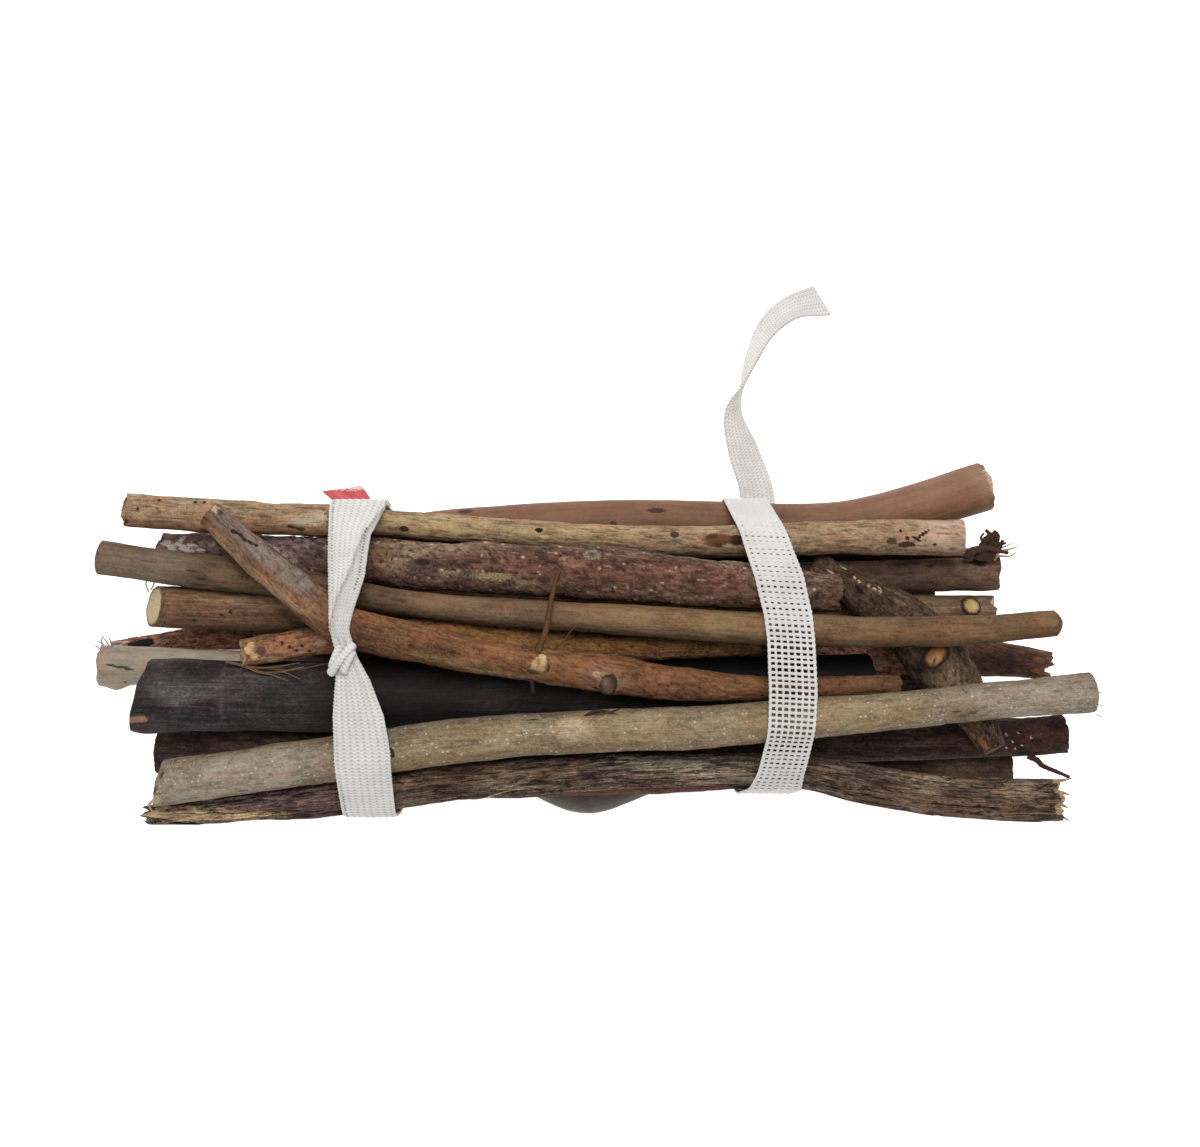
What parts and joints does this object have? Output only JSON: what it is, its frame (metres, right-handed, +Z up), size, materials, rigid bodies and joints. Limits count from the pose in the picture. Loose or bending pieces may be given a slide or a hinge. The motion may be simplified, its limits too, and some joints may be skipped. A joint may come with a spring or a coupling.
{
  "type": "bundle of twigs",
  "caption": "Bundle of dry sticks and curls of bark, lying down, held by two white elastic bands, one knotted on top and one with a loose end.",
  "frame": {"origin": "on the floor, under the middle of the bounding box of the whole object", "axes": "+X along the bundle, +Y to its back, where the loose end of the right band lies, +Z up"},
  "size_m": [0.3226, 0.201, 0.0732],
  "materials": {
    "tan_bark": "matt dry bark, tan with dark knots",
    "smooth_red_bark": "smooth reddish brown bark",
    "rough_red_bark": "rough dark reddish bark with pale flecks",
    "orange_bark": "orange brown bark with fine cross marks",
    "knotted_bark": "rough grey brown bark",
    "olive_bark": "dry olive brown bark",
    "pale_bark": "pale olive grey bark with light specks",
    "spotted_bark": "orange brown bark with dark spots",
    "brown_bark": "streaked brown bark, cream cut ends",
    "red_flaky_bark": "dark red brown flaky bark",
    "grey_smooth_bark": "smooth grey bark",
    "dark_bark": "blackish purple bark with a soft sheen",
    "dark_red_bark": "dark reddish brown bark",
    "fibrous_bark": "grey brown deeply furrowed bark",
    "umber_bark": "dark umber bark",
    "brown_curl_bark": "dark brown rolled bark",
    "white_elastic": "white knitted elastic, matt",
    "red_card": "plain red coated card"
  },
  "bodies": {
    "root": {"tan_knotty_stick": "tan_bark", "smooth_red_stick": "smooth_red_bark", "rough_red_stick": "rough_red_bark", "crooked_orange_stick": "orange_bark", "short_knotted_stick": "knotted_bark", "thin_olive_stick": "olive_bark", "pale_speckled_stick": "pale_bark", "spotted_orange_stick": "spotted_bark", "cream_cut_stick": "brown_bark", "red_bark_strip": "red_flaky_bark", "pale_grey_stick": "grey_smooth_bark", "dark_bark_curl": "dark_bark", "dark_red_stick": "dark_red_bark", "fibrous_grey_stick": "fibrous_bark", "umber_stick": "umber_bark", "grey_elbow_stick": "grey_smooth_bark", "brown_bark_curl": "brown_curl_bark", "upper_back_stick": "brown_bark", "back_stick": "tan_bark", "front_inner_stick": "olive_bark", "floor_back_stick": "umber_bark", "floor_middle_stick": "pale_bark", "floor_inner_stick": "fibrous_bark", "floor_front_stick": "orange_bark", "left_band": "white_elastic", "right_band": "white_elastic", "red_tag": "red_card"}
  },
  "joints": []
}
